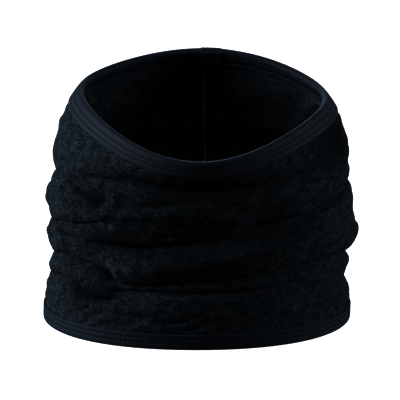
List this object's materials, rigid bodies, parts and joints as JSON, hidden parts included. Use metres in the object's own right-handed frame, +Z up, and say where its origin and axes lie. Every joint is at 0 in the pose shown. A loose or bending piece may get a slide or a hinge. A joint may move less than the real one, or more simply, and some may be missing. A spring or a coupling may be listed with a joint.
{
  "type": "neck gaiter",
  "caption": "Pull-on tube of bunched black fleece with a stitched elastic binding round the rim and the hem, dipped at the front for the chin.",
  "frame": {"origin": "middle of the bottom of the gaiter's box, on the plane its hem rests on", "axes": "+Z up through the tube; +X across its wider way, to the right as seen from the front; the low chin side of the rim faces -Y and the back seam is on the +Y side"},
  "size_m": [0.1984, 0.1646, 0.1634],
  "materials": {
    "fleece": "matte",
    "seam_edge": "matte",
    "binding_tape": "matte",
    "thread": "satin"
  },
  "bodies": {
    "hem": {"fleece_tube": "fleece", "back_seam_allowance": "seam_edge", "back_seam_needle_thread": "thread", "back_seam_looper_thread": "thread", "bottom_binding": "binding_tape", "bottom_binding_fold_side_stitch": "thread", "bottom_binding_free_side_stitch": "thread", "bottom_binding_looper_thread": "thread"},
    "rim": {"top_binding": "binding_tape", "top_binding_fold_side_stitch": "thread", "top_binding_free_side_stitch": "thread", "top_binding_looper_thread": "thread"}
  },
  "joints": [
    {"name": "rim_lift", "type": "slide", "parent": "hem", "child": "rim", "axis": [0, 0, 1], "range_m": [-0.02, 0.07], "deforming": ["fleece_tube", "back_seam_allowance", "back_seam_needle_thread", "back_seam_looper_thread"]}
  ]
}
